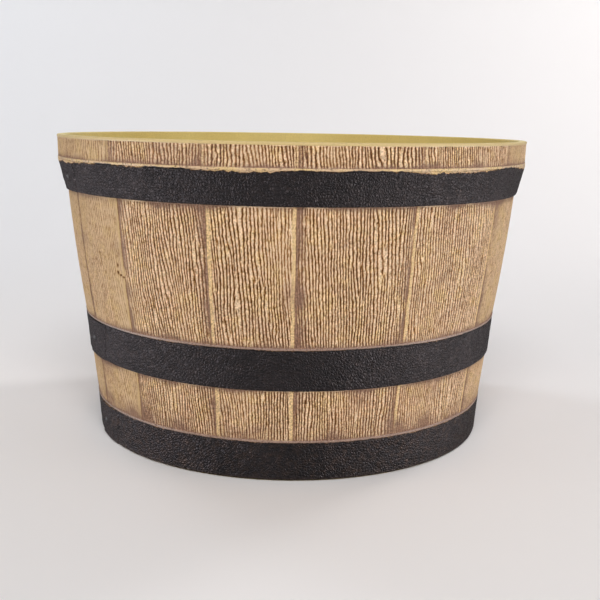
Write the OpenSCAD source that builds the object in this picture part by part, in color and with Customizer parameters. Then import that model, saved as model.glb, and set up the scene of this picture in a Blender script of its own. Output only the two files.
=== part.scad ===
// Barrel planter: a moulded tub with the look of oak staves, three riveted hoops and
// three push-in drain plugs. Millimetres, +Z up, origin on the ground under the middle.
// The photographed front faces -Y. An azimuth is counted from -Y towards +X, in degrees.

/* [Tub] */
// Outside diameter at the rim
rim_d = 560; // [530:1:620]
// Overall height
tub_h = 352; // [335:1:400]
// How far inside the rim the wall lies just above the top hoop
collar_in = 1; // [0.8:0.1:3]
// How far inside the rim the wall lies at the lower edge of the top hoop
neck_in = 11; // [8:0.1:16]
// How far inside the rim the wall lies at the lower edge of the middle hoop
waist_in = 33.8; // [28:0.1:44]
// How far inside the rim the wall lies on the ground
base_in = 45.5; // [40:0.1:70]
// How far the wall swells out between the middle and the top hoop
wall_bulge = 1.2; // [0:0.1:3]
// Thickness of the moulded wall
wall_t = 5.5; // [4.5:0.1:8]

/* [Rim] */
// Thickness of the rim
rim_t = 9; // [7:0.1:14]
// Depth over which the rim keeps its full thickness
rim_depth = 18; // [10:0.5:22]
// Depth over which the rim thins down to the wall
rim_taper = 20; // [8:0.5:40]
// Radius of the rim's rounded edges
rim_round = 1.5; // [0.5:0.1:2.5]
// Height of the smooth lip over the grained wall
lip_h = 3; // [1.5:0.1:5]
// How far the lip stands out from the grained wall
lip_proud = 0.5; // [0.2:0.1:1]

/* [Floor] */
// Height of the floor's underside over the ground
floor_gap = 8; // [5:0.5:15]
// Thickness of the floor
floor_t = 6; // [5:0.1:10]
// Radius of the fillet between the floor and the wall inside
floor_fillet = 12; // [6:0.5:20]
// Width of the foot ring that the tub stands on
foot_w = 10; // [8:0.5:16]
// Number of ribs under the floor
rib_count = 6; // [3:1:12]
// Thickness of a rib
rib_t = 3; // [2:0.1:5]
// Gap between a rib and the ground
rib_lift = 2; // [1:0.5:3]
// Radius of the ring that the ribs meet
rib_ring_r = 60; // [40:1:75]

/* [Staves] */
// Width of the shallow joint between two staves
joint_w = 2; // [1:0.1:4]
// Depth of the joint between two staves
joint_depth = 0.8; // [0.4:0.1:1.2]
// Distance at which a joint ends short of a hoop, a shoulder and the lip
joint_short = 0.5; // [0.3:0.1:1]

/* [Hoops] */
// Thickness of the hoop strip
strip_t = 2.5; // [2.1:0.1:3]
// Width of the top hoop
top_hoop_w = 34.5; // [25:0.5:40]
// Width of the middle hoop
middle_hoop_w = 43.5; // [30:0.5:55]
// Width of the bottom hoop
bottom_hoop_w = 42; // [30:0.5:55]
// Distance from the rim down to the top hoop
rim_band_h = 27; // [20:0.5:34]
// Height of the middle hoop's lower edge over the ground
middle_hoop_z = 101; // [90:0.5:120]
// Gap between the bottom hoop and the ground
bottom_hoop_z = 0.8; // [0.6:0.1:3]
// How far a hoop's upper edge stands out from the wall
proud_top = 0.6; // [0.4:0.1:1]
// How far a hoop's lower edge stands out from the wall
proud_low = 2; // [1:0.1:2]
// Radius of a hoop's rounded lower edge
edge_round = 1.5; // [0.5:0.1:1.8]
// Height of the smooth shoulder over each hoop
shoulder_h = 2.5; // [1:0.1:4]
// How far the shoulder stands out from the wall
shoulder_proud = 0.5; // [0.2:0.1:0.6]
// Length of a hoop's lapped end
lap_len = 60; // [50:1:80]
// Thickness of the lapped end
lap_t = 1.2; // [0.8:0.1:2]
// Clearance round a hoop in its seat
hoop_clear = 0.1; // [0.05:0.05:0.2]

/* [Rivets] */
// Diameter of a rivet head
rivet_d = 9; // [6:0.5:12]
// Height of a rivet head
rivet_h = 2; // [1:0.1:3]
// Diameter of a rivet shank
shank_d = 4; // [3:0.1:5]
// Clearance round a rivet shank, and under its head
rivet_clear = 0.05; // [0.02:0.01:0.1]

/* [Drain] */
// Diameter of a drain hole
drain_d = 16; // [10:0.5:22]
// Radius of the circle that the drain holes lie on
drain_circle_r = 110; // [95:1:150]
// Diameter of a plug's head
plug_head_d = 26; // [24:0.5:32]
// Thickness of a plug's head
plug_head_t = 2.4; // [1.5:0.1:3]
// Length of a plug's stem past the underside of the floor
plug_stem_past = 2; // [0.5:0.5:4]
// Clearance round a plug's stem
plug_clear = 0.05; // [0.02:0.01:0.1]
// Clearance round a plug's head, and over it
head_clear = 0.4; // [0.2:0.1:0.8]
// Width of the grip bar across a plug's head
grip_w = 4; // [3:0.5:6]
// Depth of the finger hollows beside the grip bar
grip_depth = 1.2; // [0.5:0.1:1.3]

/* [Hidden] */
$fn = 96;

// Azimuth of the joint at the left of the first stave listed
first_joint_az = -61.3;
// Width of each stave, in degrees round the tub. The last one closes the circle
stave_deg = [19.7, 23.2, 19.8, 25.9, 28.3, 22, 26, 24, 20, 25, 28, 22, 24, 26];
// Azimuth of the end of each hoop's lap
lap_end_az = [-58.4, -55.4, -54.5];
// Azimuth of the rivets, one on each lap, in a line up the tub
rivet_az = -63.1;
// Steps of the swelled stretch of wall
bulge_steps = 6;
// Extra length of a cut past the surface it opens
cut_past = 2;
// Segments of a quarter round
round_steps = 6;
plug_count = 3;

rim_r = rim_d / 2;
collar_r = rim_r - collar_in;
neck_r = rim_r - neck_in;
waist_r = rim_r - waist_in;
base_r = rim_r - base_in;
floor_top = floor_gap + floor_t;
// Each hoop as its lower edge and its upper edge over the ground
top_z = [tub_h - rim_band_h - top_hoop_w, tub_h - rim_band_h];
middle_z = [middle_hoop_z, middle_hoop_z + middle_hoop_w];
bottom_z = [bottom_hoop_z, bottom_hoop_z + bottom_hoop_w];
hoops_z = [top_z, middle_z, bottom_z];
stem_d = drain_d - 2 * plug_clear;
seat_d = plug_head_d + 2 * head_clear;
seat_depth = plug_head_t + head_clear;

function mix(a, b, t) = a + (b - a) * t;
function between(z, lo, hi) = (z - lo) / (hi - lo);
function swell(z) = z < middle_z[1] || z > top_z[0] ? 0
    : 4 * wall_bulge * between(z, middle_z[1], top_z[0]) * (1 - between(z, middle_z[1], top_z[0]));

// Outside radius of the grained wall at a height
function wall_r(z) =
    z < middle_z[0] ? mix(base_r, waist_r, between(z, 0, middle_z[0]))
    : z < top_z[0] ? mix(waist_r, neck_r, between(z, middle_z[0], top_z[0])) + swell(z)
    : z < top_z[1] ? mix(neck_r, collar_r, between(z, top_z[0], top_z[1]))
    : mix(collar_r, rim_r - lip_proud, between(z, top_z[1], tub_h));

// Outside radius of a hoop at its lower and its upper edge
function hoop_r(zs) = [wall_r(zs[0]) + proud_low, wall_r(zs[1] - 0.001) + proud_top];
function hoop_slope(zs) = (hoop_r(zs)[1] - hoop_r(zs)[0]) / (zs[1] - zs[0]);
function hoop_lean(zs) = atan(hoop_slope(zs));
// Outside radius of a hoop at a height
function hoop_at(zs, z) = hoop_r(zs)[0] + hoop_slope(zs) * (z - zs[0]);

// Points of an arc round a centre
function arc(c, r, from, to) = [for (i = [0 : round_steps])
    let (a = mix(from, to, i / round_steps)) [c[0] + r * cos(a), c[1] + r * sin(a)]];

// A hoop's seat in the wall, and the shoulder over it
function seat_points(zs) = let (z0 = zs[0], z1 = zs[1] + hoop_clear) [
    [wall_r(z0), z0],
    [hoop_at(zs, z0) - strip_t - hoop_clear, z0],
    [hoop_at(zs, z1) - strip_t - hoop_clear, z1],
    [wall_r(z1) + shoulder_proud, z1],
    [wall_r(z1 + shoulder_h) + shoulder_proud, z1 + shoulder_h],
    [wall_r(z1 + shoulder_h), z1 + shoulder_h]];

// Heights of the grained bands, each from the shoulder over a hoop to the next hoop or the lip
over_hoop = hoop_clear + shoulder_h;
bands = [[bottom_z[1] + over_hoop, middle_z[0]], [middle_z[1] + over_hoop, top_z[0]],
         [top_z[1] + over_hoop, tub_h - lip_h]];
// Heights at which the swelled stretch of wall bends
bulge_z = [for (i = [1 : bulge_steps - 1]) mix(bands[1][0], bands[1][1], i / bulge_steps)];

// The floor of a stave joint along a band, with the wall's bends
function joint_points(band) = let (
    ends = [band[0] + joint_short, band[1] - joint_short],
    bends = [for (z = bulge_z) if (z > ends[0] && z < ends[1]) z])
    [for (z = concat([ends[0]], bends, [ends[1]])) [wall_r(z) - joint_depth, z]];

module tub_shell() {
    inner_r = function(z) wall_r(z) - wall_t;
    taper_top = tub_h - rim_depth;
    taper_low = taper_top - rim_taper;
    fillet_z = floor_top + floor_fillet;
    wall_lean = atan((wall_r(fillet_z) - wall_r(floor_top)) / floor_fillet);
    fillet_c = [inner_r(fillet_z) - floor_fillet * cos(wall_lean), fillet_z];
    color("burlywood") difference() {
        union() {
            rotate_extrude($fn = 180) polygon(concat(
                [[0, floor_gap], [wall_r(0) - foot_w, floor_gap], [wall_r(0) - foot_w, 0], [wall_r(0), 0]],
                seat_points(bottom_z),
                seat_points(middle_z),
                [for (z = bulge_z) [wall_r(z), z]],
                seat_points(top_z),
                [[rim_r - lip_proud, tub_h - lip_h], [rim_r, tub_h - lip_h]],
                arc([rim_r - rim_round, tub_h - rim_round], rim_round, 0, 90),
                arc([rim_r - rim_t + rim_round, tub_h - rim_round], rim_round, 90, 180),
                [[rim_r - rim_t, taper_top], [inner_r(taper_low), taper_low]],
                [[inner_r(top_z[0]), top_z[0]], [inner_r(middle_z[0]), middle_z[0]]],
                arc(fillet_c, floor_fillet, -wall_lean, -90),
                [[0, floor_top]]));
            floor_ribs();
        }
        stave_joints();
        drain_holes();
    }
}

// Ribs under the floor, from a ring round the middle out to the foot
module floor_ribs() {
    foot_inner_r = wall_r(0) - foot_w;
    rib_h = floor_gap - rib_lift;
    translate([0, 0, rib_lift]) difference() {
        cylinder(h = rib_h + floor_t / 2, r = rib_ring_r + rib_t / 2);
        translate([0, 0, -cut_past]) cylinder(h = rib_h + floor_t + cut_past, r = rib_ring_r - rib_t / 2);
    }
    for (i = [0 : rib_count - 1])
        rotate([0, 0, 360 * (i + 0.5) / rib_count])
            translate([rib_ring_r, -rib_t / 2, rib_lift])
                cube([foot_inner_r + foot_w / 2 - rib_ring_r, rib_t, rib_h + floor_t / 2]);
}

// Azimuth of the joint before each stave
function joint_az(i) = i == 0 ? first_joint_az : joint_az(i - 1) + stave_deg[i - 1];

module stave_joints() {
    joint_deg = joint_w / wall_r(middle_z[0]) * 180 / PI;
    for (i = [0 : len(stave_deg)], band = bands)
        rotate([0, 0, joint_az(i) - 90 - joint_deg / 2])
            rotate_extrude(angle = joint_deg)
                polygon(concat(joint_points(band),
                    [[rim_r + cut_past, band[1] - joint_short], [rim_r + cut_past, band[0] + joint_short]]));
}

module at_drain(i) {
    rotate([0, 0, 360 * i / plug_count - 90]) translate([drain_circle_r, 0, 0]) children();
}

module drain_holes() {
    for (i = [0 : plug_count - 1]) at_drain(i) {
        translate([0, 0, floor_gap - cut_past]) cylinder(h = floor_t + 2 * cut_past, d = drain_d);
        translate([0, 0, floor_top - seat_depth]) cylinder(h = seat_depth + cut_past, d = seat_d);
    }
}

// One hoop: a strip round the tub, its lapped end outside, drilled for the rivet
module hoop(zs, lap_az) {
    z0 = zs[0];
    z1 = zs[1];
    r0 = hoop_at(zs, z0);
    r1 = hoop_at(zs, z1);
    lean = hoop_lean(zs);
    lap_deg = lap_len / r0 * 180 / PI;
    edge_r = hoop_at(zs, z0 + edge_round) - edge_round / cos(lean);
    strip = function(inside, out) concat(
        [[r0 - inside, z0]],
        arc([edge_r + out, z0 + edge_round], edge_round, -90, -lean),
        [[r1 + out, z1], [r1 - inside, z1]]);
    difference() {
        union() {
            rotate_extrude($fn = 180) polygon(strip(strip_t, 0));
            rotate([0, 0, lap_az - 90 - lap_deg])
                rotate_extrude(angle = lap_deg, $fn = 180) polygon(strip(strip_t / 2, lap_t));
        }
        at_rivet(zs)
            translate([0, 0, -strip_t - lap_t - cut_past])
                cylinder(h = strip_t + lap_t + 2 * cut_past, d = shank_d + 2 * rivet_clear);
    }
}

// Places something at the rivet of a hoop, with +Z out of the lap's face
module at_rivet(zs) {
    mid_z = (zs[0] + zs[1]) / 2;
    rotate([0, 0, rivet_az - 90])
        translate([hoop_at(zs, mid_z) + lap_t, 0, mid_z])
            rotate([0, 90 + hoop_lean(zs), 0])
                children();
}

// A domed rivet head and its shank through both layers of the lap
module rivet(shank_len) {
    dome_r = (pow(rivet_d / 2, 2) + pow(rivet_h, 2)) / (2 * rivet_h);
    dome_half = asin(rivet_d / 2 / dome_r);
    rotate_extrude() polygon(concat(
        [[0, -shank_len], [shank_d / 2, -shank_len], [shank_d / 2, rivet_clear], [rivet_d / 2, rivet_clear]],
        arc([0, rivet_clear + rivet_h - dome_r], dome_r, 90 - dome_half, 90 - dome_half / round_steps),
        [[0, rivet_clear + rivet_h]]));
}

module hoop_rivet(zs) {
    color("gray") at_rivet(zs) rivet((strip_t + lap_t) * cos(hoop_lean(zs)));
}

module top_hoop() { color("dimgray") hoop(top_z, lap_end_az[0]); }
module middle_hoop() { color("dimgray") hoop(middle_z, lap_end_az[1]); }
module bottom_hoop() { color("dimgray") hoop(bottom_z, lap_end_az[2]); }
module top_hoop_rivet() { hoop_rivet(top_z); }
module middle_hoop_rivet() { hoop_rivet(middle_z); }
module bottom_hoop_rivet() { hoop_rivet(bottom_z); }

// A plug that drops into drain hole i from inside, its head in the counterbore
module drain_plug(i) {
    seat_z = floor_top - seat_depth;
    stem_low = floor_gap - plug_stem_past;
    color("darkolivegreen") at_drain(i) difference() {
        union() {
            translate([0, 0, stem_low]) cylinder(h = seat_z - stem_low, d = stem_d);
            translate([0, 0, seat_z]) cylinder(h = plug_head_t, d = plug_head_d);
        }
        translate([0, 0, seat_z + plug_head_t - grip_depth]) difference() {
            cylinder(h = grip_depth + cut_past, d = stem_d);
            translate([-drain_d, -grip_w / 2, -cut_past])
                cube([2 * drain_d, grip_w, grip_depth + 3 * cut_past]);
        }
    }
}
module drain_plug_1() { drain_plug(0); }
module drain_plug_2() { drain_plug(1); }
module drain_plug_3() { drain_plug(2); }

tub_shell();
top_hoop();
middle_hoop();
bottom_hoop();
top_hoop_rivet();
middle_hoop_rivet();
bottom_hoop_rivet();
drain_plug_1();
drain_plug_2();
drain_plug_3();
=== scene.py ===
"""Barrel planter: a moulded tub with a raised wood grain, three black hoops and drain plugs.

Lengths are in metres. An azimuth is counted from -Y, where the photograph was taken from,
towards +X, in degrees.
"""
import math

import bmesh
import bpy
import numpy as np
from mathutils import Matrix, Vector

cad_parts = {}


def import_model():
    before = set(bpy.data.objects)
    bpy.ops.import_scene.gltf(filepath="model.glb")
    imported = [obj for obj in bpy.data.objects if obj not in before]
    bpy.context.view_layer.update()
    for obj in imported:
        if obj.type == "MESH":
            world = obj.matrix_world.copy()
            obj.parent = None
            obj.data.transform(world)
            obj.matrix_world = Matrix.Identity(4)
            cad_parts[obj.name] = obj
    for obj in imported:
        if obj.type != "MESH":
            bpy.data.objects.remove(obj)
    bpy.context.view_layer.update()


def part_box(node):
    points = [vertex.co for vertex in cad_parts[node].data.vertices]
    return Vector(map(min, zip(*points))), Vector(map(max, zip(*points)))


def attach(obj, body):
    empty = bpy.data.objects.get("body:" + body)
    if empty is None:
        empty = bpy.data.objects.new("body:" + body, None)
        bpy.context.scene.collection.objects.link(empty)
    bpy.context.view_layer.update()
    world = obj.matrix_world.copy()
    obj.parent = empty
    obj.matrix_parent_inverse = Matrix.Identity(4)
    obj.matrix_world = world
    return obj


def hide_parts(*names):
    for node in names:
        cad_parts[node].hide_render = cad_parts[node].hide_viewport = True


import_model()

MM = 0.001

# ---------------------------------------------------------------- sizes, from the frame
TUB_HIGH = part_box("tub_shell")[1]
RIM_R = TUB_HIGH.x
TUB_H = TUB_HIGH.z
HOOP_NAMES = ("bottom_hoop", "middle_hoop", "top_hoop")
HOOP_Z = {name: (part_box(name)[0].z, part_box(name)[1].z) for name in HOOP_NAMES}
BOTTOM_Z, MIDDLE_Z, TOP_Z = (HOOP_Z[name] for name in HOOP_NAMES)

# The wall: how far inside the rim it lies on the ground, at the middle hoop's lower edge,
# at the top hoop's lower edge and just above the top hoop
BASE_IN = 45.5 * MM
WAIST_IN = 33.8 * MM
NECK_IN = 11 * MM
COLLAR_IN = 1 * MM
WALL_BULGE = 1.2 * MM
WALL_T = 5.5 * MM
LIP_H = 3 * MM
LIP_PROUD = 0.5 * MM
RIM_T = 9 * MM
RIM_DEPTH = 18 * MM
RIM_TAPER = 20 * MM
RIM_ROUND = 1.5 * MM

# The floor's two sides, and the foot ring, ribs and rib ring under it
FLOOR_GAP = 8 * MM
FLOOR_TOP = 14 * MM
FLOOR_FILLET = 12 * MM
FOOT_W = 10 * MM
RIB_COUNT = 6
RIB_T = 3 * MM
RIB_LIFT = 2 * MM
RIB_RING_R = 60 * MM

# The hoops: how far they stand out from the wall, their shoulders, laps and rivets
STRIP_T = 2.5 * MM
PROUD_TOP = 0.6 * MM
PROUD_LOW = 2 * MM
EDGE_ROUND = 1.5 * MM
SHOULDER_H = 2.5 * MM
SHOULDER_PROUD = 0.5 * MM
HOOP_CLEAR = 0.1 * MM
LAP_T = 1.2 * MM
LAP_LEN = 60 * MM
LAP_END_AZ = {"top_hoop": -58.4, "middle_hoop": -55.4, "bottom_hoop": -54.5}
LAP_LEAN_DEG = 2.0
RIVET_AZ = -63.1
RIVET_R = 4.5 * MM
RIVET_H = 2 * MM
RIVET_CLEAR = 0.05 * MM
SHANK_R = 2 * MM
RIVET_DENT = 0.12 * MM

# The drain holes and their plugs
DRAIN_R = 8 * MM
DRAIN_CIRCLE_R = 110 * MM
DRAIN_SEAT_R = 13.4 * MM
DRAIN_SEAT_DEPTH = 2.8 * MM
PLUG_COUNT = 3
PLUG_HEAD_R = 13 * MM
PLUG_HEAD_T = 2.4 * MM
PLUG_STEM_R = 7.95 * MM
PLUG_STEM_LOW = 6 * MM
PLUG_CHAMFER = 1 * MM
PLUG_ROUND = 0.6 * MM
GRIP_HALF = 2 * MM
GRIP_DEPTH = 1.2 * MM

# The staves: azimuth of the first joint, and each stave's width in degrees
FIRST_JOINT_AZ = -61.3
STAVE_DEG = (19.7, 23.2, 19.8, 25.9, 28.3, 22, 26, 24, 20, 25, 28, 22, 24, 26, 26.1)
# How strong each stave's grain is
STAVE_GRAIN = (0.5, 1, 1, 1, 0.85, 0.6, 0.9, 1, 0.8, 1, 0.9, 1, 0.8, 0.9, 0.5)
# Side of each joint that has a smooth light strip: -1 left, 1 right, 0 none
STRIP_SIDE = (0, -1, 1, -1, 1, -1, 1, -1, 0, 1, -1, 1, 0, -1, 1)

# The grain: columns round the tub, and the rows that its noise is made on
COLUMNS = 3600
FIELD_STEP = 1 * MM
FIELD_ROWS = 384
RIDGES = 490
RIDGE_SPREAD = 84
GRAIN_RUN = 17 * MM
GRAIN_LEAN = 0.05
GRAIN_DEPTH = 0.9 * MM
JOINT_DEPTH = 0.9 * MM
JOINT_HALF = 1.4 * MM
JOINT_WANDER = 0.35 * MM
JOINT_WASH = 3.6 * MM
LIGHT_STRIP_W = 5.4 * MM
END_FADE = 0.8 * MM
PANEL_BACK = 2.6 * MM
MEAN_R = 257 * MM
SEED = 11
# The dark wash, with painted shade under each hoop: how far down it reaches under a hoop, and how tall its
# line over a shoulder is
UNDER_HOOP_WASH_AND_SHADE_H = 8 * MM
FOOT_WASH_H = 1.6 * MM
WASH_AND_SHADE_MOST = 1.5
# Where the rim's wash is darker: azimuth and half width
RIM_WASH_AZ = -22
RIM_WASH_DEG = 13
# Nicks in the wall: azimuth, height, half width and half height of each
SCAR_NICKS = ((-44.2, 219 * MM, 1.3 * MM, 1.8 * MM), (-44.3, 211 * MM, 1.9 * MM, 1.6 * MM),
              (-43.4, 208.5 * MM, 2.2 * MM, 1.1 * MM), (-42.4, 206.5 * MM, 2.2 * MM, 1.0 * MM))


def smooth_step(low, high, x):
    """0 below low, 1 above high, and an easy curve between."""
    t = np.clip((x - low) / (high - low), 0, 1)
    return t * t * (3 - 2 * t)


def wall_r(z):
    """Outside radius of the wall's ridges at a height, the same curve as the CAD wall's."""
    keys_z = (0, MIDDLE_Z[0], TOP_Z[0], TOP_Z[1], TUB_H)
    insets = (BASE_IN, WAIST_IN, NECK_IN, COLLAR_IN, LIP_PROUD)
    t = np.clip((z - MIDDLE_Z[1]) / (TOP_Z[0] - MIDDLE_Z[1]), 0, 1)
    return RIM_R - np.interp(z, keys_z, insets) + 4 * WALL_BULGE * t * (1 - t)


def hoop_r(name, z):
    """Outside radius of a hoop's cone at a height."""
    low, high = HOOP_Z[name]
    r_low = wall_r(low) + PROUD_LOW
    r_high = wall_r(high) + PROUD_TOP
    return r_low + (r_high - r_low) * (z - low) / (high - low)


# ---------------------------------------------------------------- noise for the relief
rng = np.random.default_rng(SEED)
ROUND_FREQ = np.fft.fftfreq(COLUMNS, 1 / COLUMNS)[None, :]
UP_FREQ = np.fft.fftfreq(FIELD_ROWS, FIELD_STEP)[:, None]
RAD_PER_M = RIDGES / MEAN_R


def filtered(keep):
    """Seeded white noise, with each of its frequencies scaled by keep."""
    white = np.fft.fft2(rng.standard_normal((FIELD_ROWS, COLUMNS)))
    return np.fft.ifft2(white * keep)


def soft_noise(across, along):
    """Smooth noise of unit spread, with features about so wide and so tall."""
    round_trip = 2 * math.pi * MEAN_R
    k_across = ROUND_FREQ * across / round_trip
    k_along = UP_FREQ * along
    field = filtered(np.exp(-2 * math.pi * (k_across ** 2 + k_along ** 2))).real
    return field / field.std()


def grain_field():
    """Complex noise whose phase turns once for each ridge. Ridges fork where it is zero."""
    keep = np.exp(-((ROUND_FREQ - RIDGES) / RIDGE_SPREAD) ** 2 / 2)
    keep = keep * np.exp(-(UP_FREQ * 2 * math.pi * GRAIN_RUN) ** 2 / 2)
    field = filtered(keep)
    return field / np.abs(field).mean()


def at_heights(field, z):
    """The field's rows at these heights."""
    at = np.asarray(z) / FIELD_STEP
    low = np.floor(at).astype(int)
    part = (at - low)[:, None]
    return field[low] * (1 - part) + field[low + 1] * part


GRAIN = grain_field()
BEND = (1.3 * soft_noise(13 * MM, 36 * MM) + 3.4 * soft_noise(34 * MM, 90 * MM)
        + 5.0 * soft_noise(40 * MM, 250 * MM))
WIGGLE = soft_noise(4 * MM, 9 * MM)
JAGGED = soft_noise(1.6 * MM, 1.8 * MM)
ROUGH = soft_noise(1.0 * MM, 1.6 * MM)
DEEPNESS = soft_noise(25 * MM, 60 * MM)
SMEAR = soft_noise(7 * MM, 12 * MM)
WANDER = soft_noise(400 * MM, 40 * MM)
POOL = soft_noise(18 * MM, 14 * MM)

STEP_DEG = 360 / COLUMNS
COLUMN_DEG = np.arange(COLUMNS) * STEP_DEG
JOINT_DEG = np.concatenate([[0], np.cumsum(STAVE_DEG)])


def stave_at():
    """Which stave each column is in."""
    return np.searchsorted(JOINT_DEG, COLUMN_DEG, side="right") - 1


def joint_distance(z):
    """Signed distance of each point from its nearest joint, and which joint that is."""
    off = (COLUMN_DEG[:, None] - JOINT_DEG[None, :-1] + 180) % 360 - 180
    nearest = np.abs(off).argmin(1)
    signed = off[np.arange(COLUMNS), nearest]
    r = wall_r(z)[:, None]
    wander = at_heights(WANDER, z) * JOINT_WANDER
    return np.radians(signed)[None, :] * r + wander, nearest


def degrees_from(azimuth):
    """How far round the tub each column is from an azimuth."""
    return (COLUMN_DEG + FIRST_JOINT_AZ - azimuth + 180) % 360 - 180


def scar_depth(z):
    """A small cluster of nicks that the photograph shows left of the middle."""
    depth = np.zeros((len(z), COLUMNS))
    for azimuth, height, half_w, half_h in SCAR_NICKS:
        across = np.radians(degrees_from(azimuth)) * MEAN_R
        shape = (across[None, :] / half_w) ** 2 + ((z[:, None] - height) / half_h) ** 2
        depth = np.maximum(depth, np.exp(-shape))
    return depth


def ridges(z, below_hoop):
    """Depth of the grain, about 0 on its crests and 1 in its valleys, then valleys and boldness."""
    rise = (z[:, None] - z[0]) * GRAIN_LEAN * RAD_PER_M
    field = at_heights(GRAIN, z)
    phase = np.angle(field) + rise + at_heights(BEND, z)
    wiggle = 0.4 if below_hoop else 0.75
    phase = phase + wiggle * at_heights(WIGGLE, z) + 0.34 * at_heights(JAGGED, z)
    # valleys are equally wide, whether their ridges lie close together or far apart
    wave = np.exp(1j * phase)
    pitch = np.abs(np.angle(np.roll(wave, -1, 1) * np.roll(wave, 1, 1).conj())) / 2
    narrow = np.clip(pitch / (RIDGES * 2 * math.pi / COLUMNS), 0.5, 1)
    wide = 1.3 if below_hoop else 1.5
    valley = np.exp(-(np.abs(np.angle(wave)) / (wide * narrow)) ** 2.6)
    crown = 0.5 + 0.5 * np.cos(phase)
    uneven = np.clip(0.97 + 0.13 * at_heights(DEEPNESS, z), 0.5, 1.15)
    strength = np.array(STAVE_GRAIN)[stave_at()] * uneven
    faint = smooth_step(0.03, 0.3, np.abs(field))
    depth = (0.74 * valley + 0.26 * crown) * strength * (0.55 + 0.45 * faint)
    return depth + 0.1 * at_heights(ROUGH, z), valley, np.clip(strength ** 2, 0, 1)


def joint_shapes(z, plain):
    """The light strips, the grooves, their steep sides, painted dark partly as joint paint and partly as
    painted shade, and the wash beside them, each 0 to plain.
    """
    smear = at_heights(SMEAR, z)
    near, which = joint_distance(z)
    side = np.array(STRIP_SIDE)[which][None, :]
    strip_w = LIGHT_STRIP_W + 0.6 * MM * smear
    along_strip = (side * near > 0) & (side != 0)
    strip = np.where(along_strip, plain - smooth_step(0.85, 1.1, np.abs(near) / strip_w), 0)
    across = np.abs(near) / (JOINT_HALF + 0.2 * MM * smear)
    groove = plain * (1 - smooth_step(0.5, 1, across))
    # Painted shade along the grooves' steep sides, together with their dark joint paint.
    groove_side_paint_and_shade = plain * np.exp(-((across - 0.9) / 0.2) ** 2)
    strip = np.clip(strip, 0, 1) * (1 - groove)
    wash_w = np.where(side * near < 0, 2.2 * JOINT_WASH, JOINT_WASH)
    halo = plain * np.exp(-(near / wash_w) ** 2) * (1 - strip) * (0.6 + 0.3 * smear)
    return strip, groove, groove_side_paint_and_shade, halo


def end_wash_and_shade(z, from_low, below_hoop, wash_h):
    """The dark wash over a shoulder and under a hoop, where it is also painted shade, and its pools here
    and there.
    """
    above = np.clip(1 - (z - z[0]) / wash_h, 0, 1)[:, None]
    # Painted shade under a hoop: the wall darkens for a few millimetres down from the hoop's lower edge, on
    # top of the wash.
    under = np.clip(1 - (z[-1] - z) / UNDER_HOOP_WASH_AND_SHADE_H, 0, 1)[:, None] if below_hoop else 0
    pool = at_heights(POOL, z)
    foot = np.exp(-(from_low / FOOT_WASH_H) ** 2)
    wash_and_shade = (1.3 * under ** 1.5 + above ** 1.5) * (0.75 + 0.3 * pool) + 0.6 * foot
    return wash_and_shade + 0.24 * np.clip(pool - 0.7, 0, 2)


def grained_band(z, below_hoop, wash_h):
    """Relief in metres below the ridges, and the paint, over a band of the wall.

    The paint's four values: height of the relief, lowered on the grooves' steep sides and in the nicks
    partly as painted shade, wash with painted shade under the hoops, light strip, and how bold the grain
    is.
    """
    depth, valley, bold = ridges(z, below_hoop)
    strip, groove, groove_side_paint_and_shade, halo = joint_shapes(z, plain=1.0 if below_hoop else 0.55)
    depth = depth * (1 - 0.85 * strip) * (1 - 0.6 * groove)

    # the grain stops short of the shoulder or hoop below it and of the hoop or lip above it
    waver = 0.25 * MM * at_heights(SMEAR, z)
    from_low = (z - z[0])[:, None] + waver
    from_high = (z[-1] - z)[:, None] + waver
    plain_end = END_FADE if below_hoop else 0
    ends = smooth_step(0, END_FADE, from_low) * smooth_step(plain_end, plain_end + END_FADE, from_high)
    scar = scar_depth(z)
    depth = np.clip(np.maximum(depth * ends, 1.1 * scar), 0, 1.25)

    wash_and_shade = end_wash_and_shade(z, from_low, below_hoop, wash_h) + 0.65 * groove + halo
    if below_hoop:
        wash_and_shade = wash_and_shade + 0.06 * valley
    else:
        wash_and_shade = wash_and_shade + 0.3 * valley + 0.25 * np.exp(-(degrees_from(RIM_WASH_AZ) / RIM_WASH_DEG) ** 2)
    # The grooves' steep sides and the nicks lower the relief value, so they are painted dark: painted
    # shade, with dark joint paint on the grooves.
    shade = np.clip(1.3 * scar, 0, 1)
    relief = 1 - np.maximum(np.maximum(depth, 0.7 * groove_side_paint_and_shade), shade)
    paint = np.stack([relief, np.clip(wash_and_shade, 0, WASH_AND_SHADE_MOST) / WASH_AND_SHADE_MOST, strip, bold], -1)
    return depth * GRAIN_DEPTH + groove * JOINT_DEPTH, paint


# ---------------------------------------------------------------- mesh helpers
def polar(r, azimuth, z):
    """A point at a radius, an azimuth in degrees and a height."""
    a = math.radians(azimuth)
    return Vector((r * math.sin(a), -r * math.cos(a), z))


def arc(centre_r, centre_z, radius, start, end, steps=6):
    """Points of an arc in the plane of a radius and the height, from one angle to another."""
    angles = [math.radians(start + (end - start) * i / steps) for i in range(steps + 1)]
    return [(centre_r + radius * math.cos(a), centre_z + radius * math.sin(a)) for a in angles]


def rolled(points, azimuth, degrees, steps, closed=True):
    """Rolls a flat grid up about the tub's axis, with a row for each (radius, height) point."""
    outline = np.array(points + points[:1] if closed else points)
    bm = bmesh.new()
    bmesh.ops.create_grid(bm, x_segments=steps, y_segments=len(outline) - 1, size=0.5)
    for vert in bm.verts:
        r, z = outline[round((vert.co.y + 0.5) * (len(outline) - 1))]
        vert.co = polar(r, azimuth + degrees * (vert.co.x + 0.5), z)
    bmesh.ops.remove_doubles(bm, verts=bm.verts, dist=0.001 * MM)
    if degrees < 360:
        bmesh.ops.holes_fill(bm, edges=[e for e in bm.edges if e.is_boundary], sides=0)
    return bm


SHARP_DEG = 38


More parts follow.
